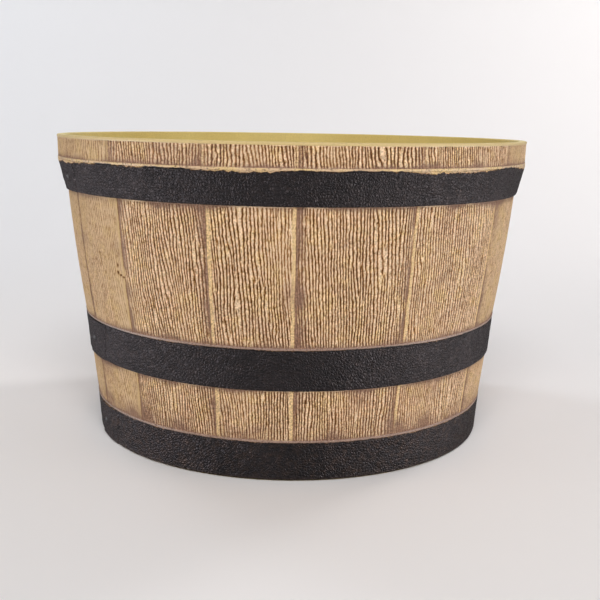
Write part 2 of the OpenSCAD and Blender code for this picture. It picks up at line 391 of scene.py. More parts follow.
def make_object(bm, name, materials, body="tub"):
    """Smooth-shades a finished mesh, keeps its sharper edges crisp, and sets it on its body."""
    bmesh.ops.recalc_face_normals(bm, faces=bm.faces)
    mesh = bpy.data.meshes.new(name)
    bm.to_mesh(mesh)
    bm.free()
    mesh.shade_smooth()
    mesh.set_sharp_from_angle(angle=math.radians(SHARP_DEG))
    for material in materials:
        mesh.materials.append(material)
    piece = bpy.data.objects.new(name, mesh)
    bpy.context.scene.collection.objects.link(piece)
    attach(piece, body)
    return piece


def read_points(mesh):
    """Radius, azimuth and height of each of a mesh's points."""
    co = np.empty(len(mesh.vertices) * 3)
    mesh.vertices.foreach_get("co", co)
    co = co.reshape(-1, 3)
    azimuth = np.degrees(np.arctan2(co[:, 0], -co[:, 1]))
    return np.hypot(co[:, 0], co[:, 1]), azimuth, co[:, 2]


def write_points(mesh, r, azimuth, z):
    """Moves a mesh's points to these radii, azimuths and heights."""
    a = np.radians(azimuth)
    co = np.stack([r * np.sin(a), -r * np.cos(a), z], 1)
    mesh.vertices.foreach_set("co", co.ravel())
    mesh.update()


def add_paint(mesh, values):
    """Stores four values for each point, which its material reads."""
    layer = mesh.attributes.new("paint", "FLOAT_COLOR", "POINT")
    layer.data.foreach_set("color", np.ascontiguousarray(values, dtype=np.float32).ravel())


# ---------------------------------------------------------------- materials
class Nodes:
    """A material's node tree, with short ways to add nodes and join them."""

    def __init__(self, name):
        self.material = bpy.data.materials.new(name)
        self.material.use_nodes = True
        self.tree = self.material.node_tree
        self.shader = self.tree.nodes["Principled BSDF"]

    def add(self, kind, settings=None, **inputs):
        """A node with these settings and inputs. An underscore in an input's name is a space."""
        node = self.tree.nodes.new(kind)
        for key, value in (settings or {}).items():
            setattr(node, key, value)
        for key, value in inputs.items():
            self.plug(node.inputs[key.replace("_", " ")], value)
        return node

    def plug(self, socket, value):
        """Joins another node's output to a socket, or sets the socket's own value."""
        if isinstance(value, bpy.types.NodeSocket):
            self.tree.links.new(value, socket)
        else:
            socket.default_value = value

    def noise(self, scale, detail=2, roughness=0.5):
        """Noise over the piece's own coordinates, about 0.3 to 0.7."""
        return self.add("ShaderNodeTexNoise", Vector=self.position(), Scale=scale,
                        Detail=detail, Roughness=roughness).outputs["Fac"]

    def position(self):
        """The point's own coordinates, from one node for the whole material."""
        if not hasattr(self, "coordinates"):
            self.coordinates = self.add("ShaderNodeTexCoord").outputs["Object"]
        return self.coordinates

    def mix(self, factor, a, b, blend="MIX"):
        """Colour a where the factor is 0, and b, or a blended with b, where it is 1."""
        node = self.add("ShaderNodeMix", {"data_type": "RGBA", "blend_type": blend})
        self.plug(node.inputs["Factor"], factor)
        for socket, value in zip([s for s in node.inputs if s.type == "RGBA"], (a, b)):
            self.plug(socket, (*value, 1) if isinstance(value, tuple) else value)
        return [s for s in node.outputs if s.type == "RGBA"][0]

    def math(self, operation, a, b=0.0):
        """A sum, product or other operation on two values."""
        node = self.add("ShaderNodeMath", {"operation": operation})
        self.plug(node.inputs[0], a)
        self.plug(node.inputs[1], b)
        return node.outputs[0]

    def scaled(self, value, low, high, to_low=0.0, to_high=1.0):
        """The value, clamped to low and high and mapped to another range."""
        node = self.add("ShaderNodeMapRange", Value=value, From_Min=low, From_Max=high,
                        To_Min=to_low, To_Max=to_high)
        return node.outputs["Result"]

    def paint(self):
        """The four values that add_paint stored."""
        node = self.add("ShaderNodeAttribute", {"attribute_name": "paint"})
        parts = self.add("ShaderNodeSeparateColor", Color=node.outputs["Color"]).outputs
        return (*parts, node.outputs["Alpha"])

    def bump(self, height, strength, distance):
        """A surface direction that follows a height."""
        node = self.add("ShaderNodeBump", Height=height, Strength=strength, Distance=distance)
        return node.outputs["Normal"]


def srgb(r, g, b):
    """A colour as read off a picture, 0 to 255, in the linear values that shaders take."""
    values = (c / 255 for c in (r, g, b))
    return tuple(c / 12.92 if c <= 0.04045 else ((c + 0.055) / 1.055) ** 2.4 for c in values)


RIDGE_TAN = srgb(209, 176, 139)
RIDGE_PALE = srgb(246, 216, 182)
RIDGE_PINK = srgb(206, 168, 135)
RIDGE_YELLOW = srgb(220, 187, 136)
RIDGE_ORANGE = srgb(208, 158, 112)
FAINT_TAN = srgb(188, 157, 108)
VALLEY_BROWN = srgb(82, 44, 4)
SLOPE_BROWN = srgb(147, 104, 58)
WASH_AND_SHADE_MAUVE = srgb(134, 102, 86)
SHOULDER_TAN = srgb(214, 182, 146)
SHOULDER_GOLD = srgb(224, 192, 138)
SHOULDER_MAUVE = srgb(162, 134, 120)
LIP_CREAM = srgb(212, 186, 130)
SPECK_BROWN = srgb(96, 66, 42)
YELLOW_RESIN = srgb(228, 207, 132)
DULL_RESIN = srgb(216, 193, 120)
HOOP_BLACK = srgb(24, 18, 20)
HOOP_IRON = srgb(35, 33, 34)
HOOP_SOFT_IRON = srgb(42, 39, 40)
HOOP_WEAR_AND_HIGHLIGHT = srgb(88, 78, 80)
DUST_BROWN = srgb(74, 58, 48)
FRINGE_BROWN = srgb(88, 62, 38)
RUBBER_DARK = srgb(62, 62, 58)
RUBBER_PALE = srgb(84, 82, 76)
STAGE_WHITE = srgb(240, 236, 235)


def grain_material():
    """The staves: pale paint on the crests, brown in the valleys, and a mauve wash over both, which is also
    painted shade under the hoops.
    """
    n = Nodes("grained_paint")
    relief, wash_and_shade, strip, bold = n.paint()
    tint = n.noise(22, detail=3)
    patch = n.noise(60, detail=2)
    warm = n.noise(34, detail=2)
    ridge = n.mix(n.scaled(tint, 0.38, 0.64), RIDGE_TAN, RIDGE_PINK)
    ridge = n.mix(n.scaled(patch, 0.48, 0.66), ridge, RIDGE_YELLOW)
    ridge = n.mix(n.scaled(warm, 0.6, 0.75, 0, 0.4), ridge, RIDGE_ORANGE)
    ridge = n.mix(n.scaled(relief, 0.82, 1.0, 0.0, 0.68), ridge, RIDGE_PALE)
    ridge = n.mix(n.scaled(strip, 0.2, 1.0, 0.0, 0.8), ridge, RIDGE_YELLOW)
    ridge = n.mix(n.scaled(bold, 0.2, 0.6, 0.45, 0.0), ridge, FAINT_TAN)
    fleck = n.noise(620, detail=1, roughness=0.6)
    height = n.math("ADD", relief, n.scaled(fleck, 0.3, 0.7, -0.1, 0.1))
    slope = n.mix(n.scaled(height, 0.1, 0.42), VALLEY_BROWN, SLOPE_BROWN)
    colour = n.mix(n.scaled(height, 0.43, 0.84), slope, ridge)
    smear = n.noise(140, detail=3, roughness=0.6)
    # The mauve wash, which under the hoops is painted shade as well.
    washed_and_shaded = n.math("MULTIPLY", wash_and_shade, n.scaled(smear, 0.3, 0.7, 0.6, 1.4))
    colour = n.mix(n.scaled(washed_and_shaded, 0.03, 0.75, 0.0, 0.85), colour, WASH_AND_SHADE_MAUVE)
    colour = n.mix(bold, colour, n.scaled(fleck, 0.3, 0.7, 0.62, 1.38), "MULTIPLY")
    n.plug(n.shader.inputs["Base Color"], colour)
    n.plug(n.shader.inputs["Roughness"], n.scaled(patch, 0.3, 0.7, 0.66, 0.8))
    n.shader.inputs["Specular IOR Level"].default_value = 0.08
    n.plug(n.shader.inputs["Normal"], n.bump(fleck, 0.5, 0.5 * MM))
    return n.material


def speckled_tan(n, lip, mauve):
    """The smooth light paint of the shoulders and the lip, with the noise of its tint and specks."""
    tint = n.noise(40, detail=3)
    fleck = n.noise(450, detail=3, roughness=0.7)
    tan = n.mix(n.scaled(tint, 0.44, 0.6), SHOULDER_TAN, SHOULDER_GOLD)
    tan = n.mix(mauve, tan, SHOULDER_MAUVE)
    tan = n.mix(lip, tan, LIP_CREAM)
    specks = n.math("MULTIPLY", n.scaled(fleck, 0.5, 0.66, 0, 0.8), n.scaled(lip, 0.0, 1.0, 1.0, 0.2))
    return n.mix(specks, tan, SPECK_BROWN), tint, fleck


def tan_over_black(n, tan, black, tan_ness, fleck):
    """Tan paint where tan_ness is over a half, black where it is under, a brown fringe between."""
    ragged = n.math("ADD", tan_ness, n.scaled(fleck, 0.3, 0.7, -0.28, 0.28))
    lower = n.mix(n.scaled(ragged, 0.22, 0.44), black, FRINGE_BROWN)
    return n.mix(n.scaled(ragged, 0.46, 0.58), lower, tan)


def tan_material():
    """The smooth painted lip and shoulders: the hoops' black paint climbs them here and there."""
    n = Nodes("smooth_tan_paint")
    tan_ness, lip, mauve = n.paint()[:3]
    tan, tint, fleck = speckled_tan(n, lip, mauve)
    n.plug(n.shader.inputs["Base Color"], tan_over_black(n, tan, HOOP_BLACK, tan_ness, fleck))
    n.plug(n.shader.inputs["Roughness"], n.scaled(tint, 0.3, 0.7, 0.5, 0.65))
    n.shader.inputs["Specular IOR Level"].default_value = 0.3
    n.plug(n.shader.inputs["Normal"], n.bump(fleck, 0.3, 0.3 * MM))
    return n.material


def resin_material():
    """The bare yellow resin of the inside and the underside."""
    n = Nodes("yellow_resin")
    cloud = n.noise(9, detail=3)
    speck = n.noise(700, detail=2, roughness=0.6)
    colour = n.mix(n.scaled(cloud, 0.35, 0.65), YELLOW_RESIN, DULL_RESIN)
    colour = n.mix(1.0, colour, n.scaled(speck, 0.3, 0.7, 0.9, 1.1), "MULTIPLY")
    n.plug(n.shader.inputs["Base Color"], colour)
    n.plug(n.shader.inputs["Roughness"], n.scaled(cloud, 0.3, 0.7, 0.42, 0.55))
    n.shader.inputs["Specular IOR Level"].default_value = 0.4
    n.plug(n.shader.inputs["Normal"], n.bump(speck, 0.2, 0.3 * MM))
    return n.material


def backing_material():
    """The tub's skin behind the stave panels and the hoops, which shows only in the gaps."""
    n = Nodes("joint_wash")
    tint = n.noise(80, detail=3)
    n.plug(n.shader.inputs["Base Color"], n.mix(n.scaled(tint, 0.35, 0.65), WASH_AND_SHADE_MAUVE, VALLEY_BROWN))
    n.plug(n.shader.inputs["Roughness"], n.scaled(tint, 0.3, 0.7, 0.7, 0.8))
    return n.material


def hoop_material(name, dust):
    """Satin black over a pebbled relief, with painted shade in its creases and a painted highlight where it
    stands out, and tan paint over its upper edge.
    """
    n = Nodes(name)
    tan_ness, dent, up = n.paint()[:3]
    cells = n.add("ShaderNodeTexVoronoi", {"feature": "DISTANCE_TO_EDGE"}, Vector=n.position(),
                  Scale=330.0).outputs["Distance"]
    fine = n.noise(480, detail=2, roughness=0.6)
    cloud = n.noise(35, detail=4, roughness=0.6)
    pebble = n.math("ADD", n.scaled(cells, 0, 0.3), n.math("MULTIPLY", fine, 0.9))
    black = n.mix(n.scaled(cloud, 0.4, 0.7), HOOP_IRON, HOOP_SOFT_IRON)
    # The second paint value is painted shade and highlight, darker in the creases and lighter where the
    # face stands out, mixed here with random specks of wear.
    wear_and_crease_shade = n.math("ADD", n.scaled(fine, 0.35, 0.7), n.math("MULTIPLY", dent, 0.3))
    black = n.mix(n.scaled(wear_and_crease_shade, 0.3, 1.0, 0, 0.07), black, HOOP_WEAR_AND_HIGHLIGHT)
    dusty = n.math("MULTIPLY", n.scaled(n.noise(160, detail=4, roughness=0.7), 0.45, 0.75), dust)
    low_edge = n.math("MULTIPLY", n.scaled(up, 0.0, 0.1, 0.8, 0.0), dust)
    black = n.mix(n.math("MAXIMUM", dusty, low_edge), black, DUST_BROWN)
    tan, _, fleck = speckled_tan(n, 0.0, 0.0)
    n.plug(n.shader.inputs["Base Color"], tan_over_black(n, tan, black, tan_ness, fleck))
    n.plug(n.shader.inputs["Roughness"], n.scaled(cloud, 0.3, 0.7, 0.53, 0.6))
    n.plug(n.shader.inputs["Metallic"], n.scaled(tan_ness, 0.4, 0.6, 0.85, 0.0))
    n.shader.inputs["Specular IOR Level"].default_value = 0.5
    n.shader.inputs["Specular Tint"].default_value = (0.25, 0.25, 0.25, 1)
    n.plug(n.shader.inputs["Normal"], n.bump(pebble, 0.85, 0.7 * MM))
    return n.material


def rivet_material():
    """Black paint, a little worn."""
    n = Nodes("rivet_paint")
    fine = n.noise(420, detail=3, roughness=0.6)
    n.plug(n.shader.inputs["Base Color"], n.mix(n.scaled(fine, 0.45, 0.7, 0, 0.4), HOOP_BLACK, HOOP_WEAR_AND_HIGHLIGHT))
    n.plug(n.shader.inputs["Roughness"], n.scaled(fine, 0.3, 0.7, 0.55, 0.65))
    n.shader.inputs["Specular IOR Level"].default_value = 0.15
    n.plug(n.shader.inputs["Normal"], n.bump(fine, 0.3, 0.4 * MM))
    return n.material


def rubber_material():
    """The plugs' dark grey rubber."""
    n = Nodes("plug_rubber")
    fine = n.noise(300, detail=3, roughness=0.6)
    n.plug(n.shader.inputs["Base Color"], n.mix(n.scaled(fine, 0.4, 0.7), RUBBER_DARK, RUBBER_PALE))
    n.plug(n.shader.inputs["Roughness"], n.scaled(fine, 0.3, 0.7, 0.6, 0.75))
    n.plug(n.shader.inputs["Normal"], n.bump(fine, 0.2, 0.3 * MM))
    return n.material


GRAIN_PAINT = grain_material()
TAN_PAINT = tan_material()
RESIN = resin_material()
BACKING = backing_material()


# ---------------------------------------------------------------- grained panels
def band_rows(low, high, step):
    """Heights of a band's rows, closer together at its ends, where the grain stops."""
    near_end = np.array((0, 0.4, 0.9)) * MM
    inner = np.linspace(low + 1.8 * MM, high - 1.8 * MM, round((high - low - 3.6 * MM) / step) + 1)
    return np.concatenate([low + near_end, inner, high - near_end[::-1]])


def column_of(azimuth):
    """Column of the relief at an azimuth, counted from the first joint."""
    return np.rint(((azimuth - FIRST_JOINT_AZ) % 360) / STEP_DEG).astype(int) % COLUMNS


def stave_panel(name, first, last, z, relief, paint):
    """A closed slab of grained wall between two columns of the relief."""
    front = wall_r(z)
    back = front[[-1, 0]] - PANEL_BACK
    outline = list(zip(front, z)) + list(zip(back, z[[-1, 0]]))
    bm = rolled(outline, FIRST_JOINT_AZ + first * STEP_DEG, (last - first) * STEP_DEG, last - first)
    piece = make_object(bm, name, [GRAIN_PAINT])
    mesh = piece.data
    r, azimuth, height = read_points(mesh)
    row = np.abs(height[:, None] - z[None, :]).argmin(1)
    outer = r > front[row] - PANEL_BACK / 2
    at = (row, column_of(azimuth))
    write_points(mesh, np.where(outer, front[row] - relief[at], r), azimuth, height)
    add_paint(mesh, np.where(outer[:, None], paint[at], np.array((0.2, 1, 0, 1))))
    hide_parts("tub_shell")


OVER_HOOP = HOOP_CLEAR + SHOULDER_H
# Each band of the wall: its lower and upper height, its row spacing, and how far up from its
# lower end the dark wash reaches
BANDS = {
    "low": (BOTTOM_Z[1] + OVER_HOOP, MIDDLE_Z[0], 1.7 * MM, 26 * MM),
    "middle": (MIDDLE_Z[1] + OVER_HOOP, TOP_Z[0], 1.7 * MM, 9 * MM),
    "rim": (TOP_Z[1] + OVER_HOOP, TUB_H - LIP_H, 1.3 * MM, 8 * MM),
}


def stave_panels():
    """Every stave's panel in each band of the wall."""
    columns = np.rint(JOINT_DEG / STEP_DEG).astype(int)
    for band, (low, high, step, wash_h) in BANDS.items():
        z = band_rows(low, high, step)
        relief, paint = grained_band(z, band != "rim", wash_h)
        for i, (first, last) in enumerate(zip(columns[:-1], columns[1:])):
            stave_panel(f"stave_{i + 1:02d}_{band}", first, last, z, relief, paint)


stave_panels()


# ---------------------------------------------------------------- where tan paint meets black
# How far below a hoop's upper edge the tan paint reaches, and how far that wavers
TAN_OVER = {"top_hoop": 0.7 * MM, "middle_hoop": -0.7 * MM, "bottom_hoop": -0.7 * MM}
TAN_WAVER = {"top_hoop": 1.5 * MM, "middle_hoop": 0.45 * MM, "bottom_hoop": 0.45 * MM}
TAN_SOFT = 2.4 * MM
TAN_WAVES = {name: 0.75 * soft_noise(40 * MM, 10 * MM)[0] + 0.3 * soft_noise(8 * MM, 10 * MM)[0]
             + 0.2 * soft_noise(2.5 * MM, 10 * MM)[0] for name in HOOP_NAMES}


def tan_share(name, azimuth, z):
    """0 in a hoop's black paint, 1 in the tan paint over it, and a half along their edge."""
    edge = HOOP_Z[name][1] - TAN_OVER[name] + TAN_WAVER[name] * TAN_WAVES[name][column_of(azimuth)]
    return np.clip(0.5 + (z - edge) / TAN_SOFT, 0, 1)


# ---------------------------------------------------------------- the moulded tub behind them
def seat_outline(name):
    """A hoop's seat in the wall and the shoulder over it, from the ground up."""
    low, high = HOOP_Z[name]
    high = high + HOOP_CLEAR
    lost = STRIP_T + HOOP_CLEAR
    top = high + SHOULDER_H
    heights = (high + 0.3 * MM, high + 0.8 * MM, high + 1.5 * MM, top - 0.4 * MM)
    shoulder = [(wall_r(z) + SHOULDER_PROUD, z) for z in heights]
    return [
        (wall_r(low) - PANEL_BACK, low), (hoop_r(name, low) - lost, low),
        (hoop_r(name, high) - lost, high), (wall_r(high) + SHOULDER_PROUD - 0.3 * MM, high),
        *shoulder, (wall_r(top) + SHOULDER_PROUD - 0.3 * MM, top), (wall_r(top) - PANEL_BACK, top)]


def tub_outline():
    """From the floor's upper side inside, over the rim and down to the floor's underside."""
    taper_top = TUB_H - RIM_DEPTH
    taper_low = taper_top - RIM_TAPER
    fillet_z = FLOOR_TOP + FLOOR_FILLET
    lip_low = TUB_H - LIP_H
    foot_r = wall_r(0)
    inside = arc(wall_r(fillet_z) - WALL_T - FLOOR_FILLET, fillet_z, FLOOR_FILLET, -90, 0, steps=10)
    inside += [(wall_r(z) - WALL_T, z) for z in (MIDDLE_Z[0], MIDDLE_Z[1], TOP_Z[0], taper_low)]
    inside += [(RIM_R - RIM_T - 0.6 * MM, taper_top - 4 * MM), (RIM_R - RIM_T, taper_top)]
    rim = arc(RIM_R - RIM_T + RIM_ROUND, TUB_H - RIM_ROUND, RIM_ROUND, 180, 90)
    rim += arc(RIM_R - RIM_ROUND, TUB_H - RIM_ROUND, RIM_ROUND, 90, 0)
    rim += [(RIM_R, lip_low + 0.5 * MM), (RIM_R - 0.3 * MM, lip_low), (RIM_R - PANEL_BACK, lip_low)]
    outside = []
    for name in HOOP_NAMES[::-1]:
        outside += seat_outline(name)[::-1]
    foot = [(foot_r, BOTTOM_Z[0] - 0.3 * MM), (foot_r - 0.5 * MM, 0), (foot_r - FOOT_W, 0),
            (foot_r - FOOT_W, FLOOR_GAP)]
    return inside + rim + outside + foot


def edges_among(verts):
    """The edges that run between these vertices."""
    chosen = set(verts)
    return [e for e in {e for v in verts for e in v.link_edges} if chosen.issuperset(e.verts)]


def carried(bm, verts, move=(0, 0, 0), centre=None, scale=1.0):
    """Extrudes a ring of edges, moves the new ring or scales it about a centre, and returns it."""
    made = bmesh.ops.extrude_edge_only(bm, edges=edges_among(verts))["geom"]
    new = [v for v in made if isinstance(v, bmesh.types.BMVert)]
    bmesh.ops.translate(bm, verts=new, vec=move)
    if centre is not None:
        flat = Matrix.Diagonal((scale, scale, 1, 1))
        bmesh.ops.transform(bm, verts=new, matrix=flat, space=Matrix.Translation(-centre))
    return new


def drain_centre(i, z):
    """Where a drain hole's axis is at a height."""
    return polar(DRAIN_CIRCLE_R, 360 * i / PLUG_COUNT, z)


def floor_with_drains(bm):
    """Closes the floor's two sides between the wall and the three counterbored drain holes."""
    def loop_at(z):
        """The open edges at a height."""
        return [e for e in bm.edges if e.is_boundary and all(abs(v.co.z - z) < 1e-6 for v in e.verts)]

    upper, lower = loop_at(FLOOR_TOP), loop_at(FLOOR_GAP)
    for i in range(PLUG_COUNT):
        place = Matrix.Translation(drain_centre(i, FLOOR_TOP))
        made = bmesh.ops.create_circle(bm, cap_ends=False, segments=48, radius=DRAIN_SEAT_R, matrix=place)
        upper += edges_among(made["verts"])
        ring = carried(bm, made["verts"], (0, 0, -DRAIN_SEAT_DEPTH))
        ring = carried(bm, ring, centre=drain_centre(i, 0), scale=DRAIN_R / DRAIN_SEAT_R)
        ring = carried(bm, ring, (0, 0, FLOOR_GAP - FLOOR_TOP + DRAIN_SEAT_DEPTH))
        lower += edges_among(ring)
    for loops in (upper, lower):
        bmesh.ops.triangle_fill(bm, use_beauty=True, use_dissolve=False, edges=loops)


def join(bm, other):
    """Adds another mesh's faces and frees it."""
    mesh = bpy.data.meshes.new("joined")
    other.to_mesh(mesh)
    other.free()
    bm.from_mesh(mesh)
    bpy.data.meshes.remove(mesh)


def floor_ribs(bm):
    """The spokes and the ring under the floor."""
    top = FLOOR_GAP + 1 * MM
    height = top - RIB_LIFT
    length = wall_r(0) - FOOT_W / 2 - RIB_RING_R
    for i in range(RIB_COUNT):
        place = Matrix.Rotation(2 * math.pi * (i + 0.5) / RIB_COUNT, 4, "Z")
        place = place @ Matrix.Translation((RIB_RING_R + length / 2, 0, RIB_LIFT + height / 2))
        bmesh.ops.create_cube(bm, size=1, matrix=place @ Matrix.Diagonal((length, RIB_T, height, 1)))
    inner, outer = RIB_RING_R - RIB_T / 2, RIB_RING_R + RIB_T / 2
    join(bm, rolled([(inner, RIB_LIFT), (outer, RIB_LIFT), (outer, top), (inner, top)], 0, 360, 96))


def tub_zone(point):
    """Which of the tub's three finishes a point of its skin has."""
    resin, tan, backing = range(3)
    r, z = math.hypot(point.x, point.y), point.z
    if z > TUB_H - LIP_H:
        return tan if r > RIM_R - 1 * MM else resin
    if r > wall_r(z) - 0.2 * MM and z > BOTTOM_Z[1]:
        return tan
    if r > wall_r(z) - 3.2 * MM and z > BOTTOM_Z[0]:
        return backing
    return resin


def moulded_tub():
    """The whole tub but for its grained panels, which lie over it."""
    bm = rolled(tub_outline(), 0, 360, 720, closed=False)
    floor_with_drains(bm)
    floor_ribs(bm)
    for face in bm.faces:
        face.material_index = tub_zone(face.calc_center_median())
    piece = make_object(bm, "tub_moulding", [RESIN, TAN_PAINT, BACKING])
    _, azimuth, z = read_points(piece.data)
    tan = np.ones_like(z)
    for name in HOOP_NAMES:
        top = HOOP_Z[name][1]
        near = (z > top - 1 * MM) & (z < top + OVER_HOOP + 1 * MM)
        tan = np.where(near, tan_share(name, azimuth, z), tan)
    lip = np.where(z > TUB_H - LIP_H - 0.5 * MM, 1.0, 0.0)
    mauve = np.where(z < TOP_Z[0], 1.0, 0.0)
    add_paint(piece.data, np.stack([tan, lip, mauve, np.ones_like(z)], 1))
    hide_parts("tub_shell")


moulded_tub()


# ---------------------------------------------------------------- hoops
HOOP_STEPS = 1800
# How far in from its two ends a lap rises to its full thickness
LAP_END_RISE = 2.4 * MM
LAP_START_RISE = 9 * MM
HOOP_ROW = 1.35 * MM
CREASE_DEPTH = 0.2 * MM
DENT_DEPTH = 0.1 * MM
UNEVEN_DEPTH = 0.15 * MM
CREASES = soft_noise(1.15 * MM, 1.15 * MM)
DENTS = soft_noise(4.5 * MM, 4.5 * MM)
UNEVEN = soft_noise(60 * MM, 30 * MM)


def strip_outline(name, inside, out):
    """A hoop's cross-section: its back, its rounded lower edge, its face and its upper edge."""
    low, high = HOOP_Z[name]
    lean = math.atan2(hoop_r(name, high) - hoop_r(name, low), high - low)
    edge_r = hoop_r(name, low + EDGE_ROUND) - EDGE_ROUND / math.cos(lean) + out
    edge = arc(edge_r, low + EDGE_ROUND, EDGE_ROUND, -90, -math.degrees(lean), steps=4)
    rows = np.arange(low + EDGE_ROUND + HOOP_ROW, high - 1.2 * MM, HOOP_ROW)
    face = [(hoop_r(name, z) + out, z) for z in rows]
    rim_r = hoop_r(name, high) + out
    top = [(rim_r - 0.05 * MM, high - 0.6 * MM), (rim_r - 0.5 * MM, high)]
    return [(hoop_r(name, low) - inside, low)] + edge + face + top + [(hoop_r(name, high) - inside, high)]


def lap_shape(mesh, name, lap_deg):
    """Slopes a lap's two ends down to the strip, and leans its ends as in the photograph."""
    low, high = HOOP_Z[name]
    r, azimuth, z = read_points(mesh)
    from_end = np.radians(LAP_END_AZ[name] - azimuth) * r
    from_start = np.radians(azimuth - LAP_END_AZ[name] + lap_deg) * r
    rise = np.minimum(smooth_step(0, LAP_END_RISE, from_end), smooth_step(0, LAP_START_RISE, from_start))
    outer = r > hoop_r(name, z) - 1.5 * MM
    r = np.where(outer, r - 0.9 * LAP_T * (1 - rise), r)
    write_points(mesh, r, azimuth + LAP_LEAN_DEG * ((z - low) / (high - low) - 0.5), z)


def pebble(mesh, name):
    """Gives a hoop's face its creases, dents and unevenness, and stores what its paint needs, with painted
    shade in the creases and a painted highlight where the face stands out.
    """
    low, high = HOOP_Z[name]
    r, azimuth, z = read_points(mesh)
    at = (np.rint(z / FIELD_STEP).astype(int), column_of(azimuth))
    crease = np.exp(-(CREASES[at] / 0.35) ** 2)
    dent = DENTS[at]
    fade = smooth_step(0, 2 * MM, z - low) * smooth_step(0, 1.5 * MM, high - z)
    fade = np.where(r > hoop_r(name, z) - 0.9 * MM, fade, 0)
    moved = CREASE_DEPTH * (0.4 - crease) + DENT_DEPTH * dent + UNEVEN_DEPTH * UNEVEN[at]
    write_points(mesh, r + fade * moved, azimuth, z)
    # Painted shade and highlight: darker in the creases, lighter where the face stands out.
    shade = np.clip(0.7 + 0.2 * dent - 0.6 * crease, 0, 1)
    up = (z - low) / (high - low)
    add_paint(mesh, np.stack([tan_share(name, azimuth, z), shade, up, np.ones_like(up)], 1))


def hoop_piece(bm, piece_name, name, material):
    """A piece of a hoop, in the hoop's place. Returns its mesh."""
    piece = make_object(bm, piece_name, [material])
    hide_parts(name)
    return piece.data


def hoop(name, dust):
    """A hoop's strip, and the outer layer of its lap."""
    material = hoop_material(name + "_paint", dust)
    strip = rolled(strip_outline(name, STRIP_T, 0), FIRST_JOINT_AZ, 360, HOOP_STEPS)
    pebble(hoop_piece(strip, name + "_strip", name, material), name)
    lap_deg = math.degrees(LAP_LEN / hoop_r(name, HOOP_Z[name][0]))
    steps = round(lap_deg * HOOP_STEPS / 360)
    lap = rolled(strip_outline(name, STRIP_T / 2, LAP_T), LAP_END_AZ[name] - lap_deg, lap_deg, steps)
    lap_mesh = hoop_piece(lap, name + "_lap", name, material)
    lap_shape(lap_mesh, name, lap_deg)
    pebble(lap_mesh, name)


hoop("top_hoop", dust=0.1)
hoop("middle_hoop", dust=0.12)
hoop("bottom_hoop", dust=0.4)


# ---------------------------------------------------------------- rivets and plugs
def spun(points, steps=48):
    """Spins (radius, height) points that start and end on the Z axis into a closed skin."""
    bm = bmesh.new()
    verts = [bm.verts.new((r, 0, z)) for r, z in points]
    edges = [bm.edges.new(pair) for pair in zip(verts, verts[1:])]
    bmesh.ops.spin(bm, geom=verts + edges, cent=(0, 0, 0), axis=(0, 0, 1), angle=2 * math.pi,
                   steps=steps, use_merge=True, use_normal_flip=False)
    bmesh.ops.remove_doubles(bm, verts=bm.verts, dist=0.001 * MM)
    return bm


def rivet(name):
    """A hammered dome on a shank through both layers of the lap."""
    low, high = HOOP_Z[name]
    middle = (low + high) / 2
    lean = math.atan2(hoop_r(name, high) - hoop_r(name, low), high - low)
    dome_r = (RIVET_R ** 2 + RIVET_H ** 2) / (2 * RIVET_H)
    spread = math.degrees(math.asin(RIVET_R / dome_r))
    crown = arc(0, RIVET_CLEAR + RIVET_H - dome_r, dome_r, 90 - spread, 90, steps=10)
    shank_low = -(STRIP_T + LAP_T) * math.cos(lean)
    outline = [(0, shank_low), (SHANK_R, shank_low), (SHANK_R, RIVET_CLEAR),
               (RIVET_R - 0.2 * MM, RIVET_CLEAR), (RIVET_R, RIVET_CLEAR + 0.2 * MM)]
    bm = spun(outline + crown[1:])
    hammer = np.random.default_rng(SEED)
    for vert in bm.verts:
        if vert.co.z > RIVET_CLEAR + 0.5 * MM:
            vert.co.z -= RIVET_DENT * hammer.random()
    turn = Matrix.Rotation(math.radians(RIVET_AZ - 90), 4, "Z")
    out = Matrix.Translation((hoop_r(name, middle) + LAP_T, 0, middle))
    bmesh.ops.transform(bm, verts=bm.verts, matrix=turn @ out @ Matrix.Rotation(math.pi / 2 + lean, 4, "Y"))
    piece = make_object(bm, name + "_rivet_head", [RIVET_PAINT])
    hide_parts(name + "_rivet")


def finger_hollow(bm, side, top):
    """One of the two D-shaped hollows beside a plug's grip bar. Returns its upper edges."""
    start = math.degrees(math.asin(GRIP_HALF / PLUG_STEM_R))
    bow = arc(0, 0, PLUG_STEM_R, start, 180 - start, steps=16)
    verts = [bm.verts.new((x, side * y, top)) for x, y in bow]
    for pair in zip(verts, verts[1:] + verts[:1]):
        bm.edges.new(pair)
    upper = edges_among(verts)
    middle = Vector((0, side * (PLUG_STEM_R + GRIP_HALF) / 2, 0))
    ring = carried(bm, verts, (0, 0, -0.3 * MM), middle, 0.93)
    ring = carried(bm, ring, (0, 0, 0.6 * MM - GRIP_DEPTH))
    ring = carried(bm, ring, (0, 0, -0.3 * MM), middle, 0.93)
    bmesh.ops.triangle_fill(bm, use_beauty=True, edges=edges_among(ring))
    return upper


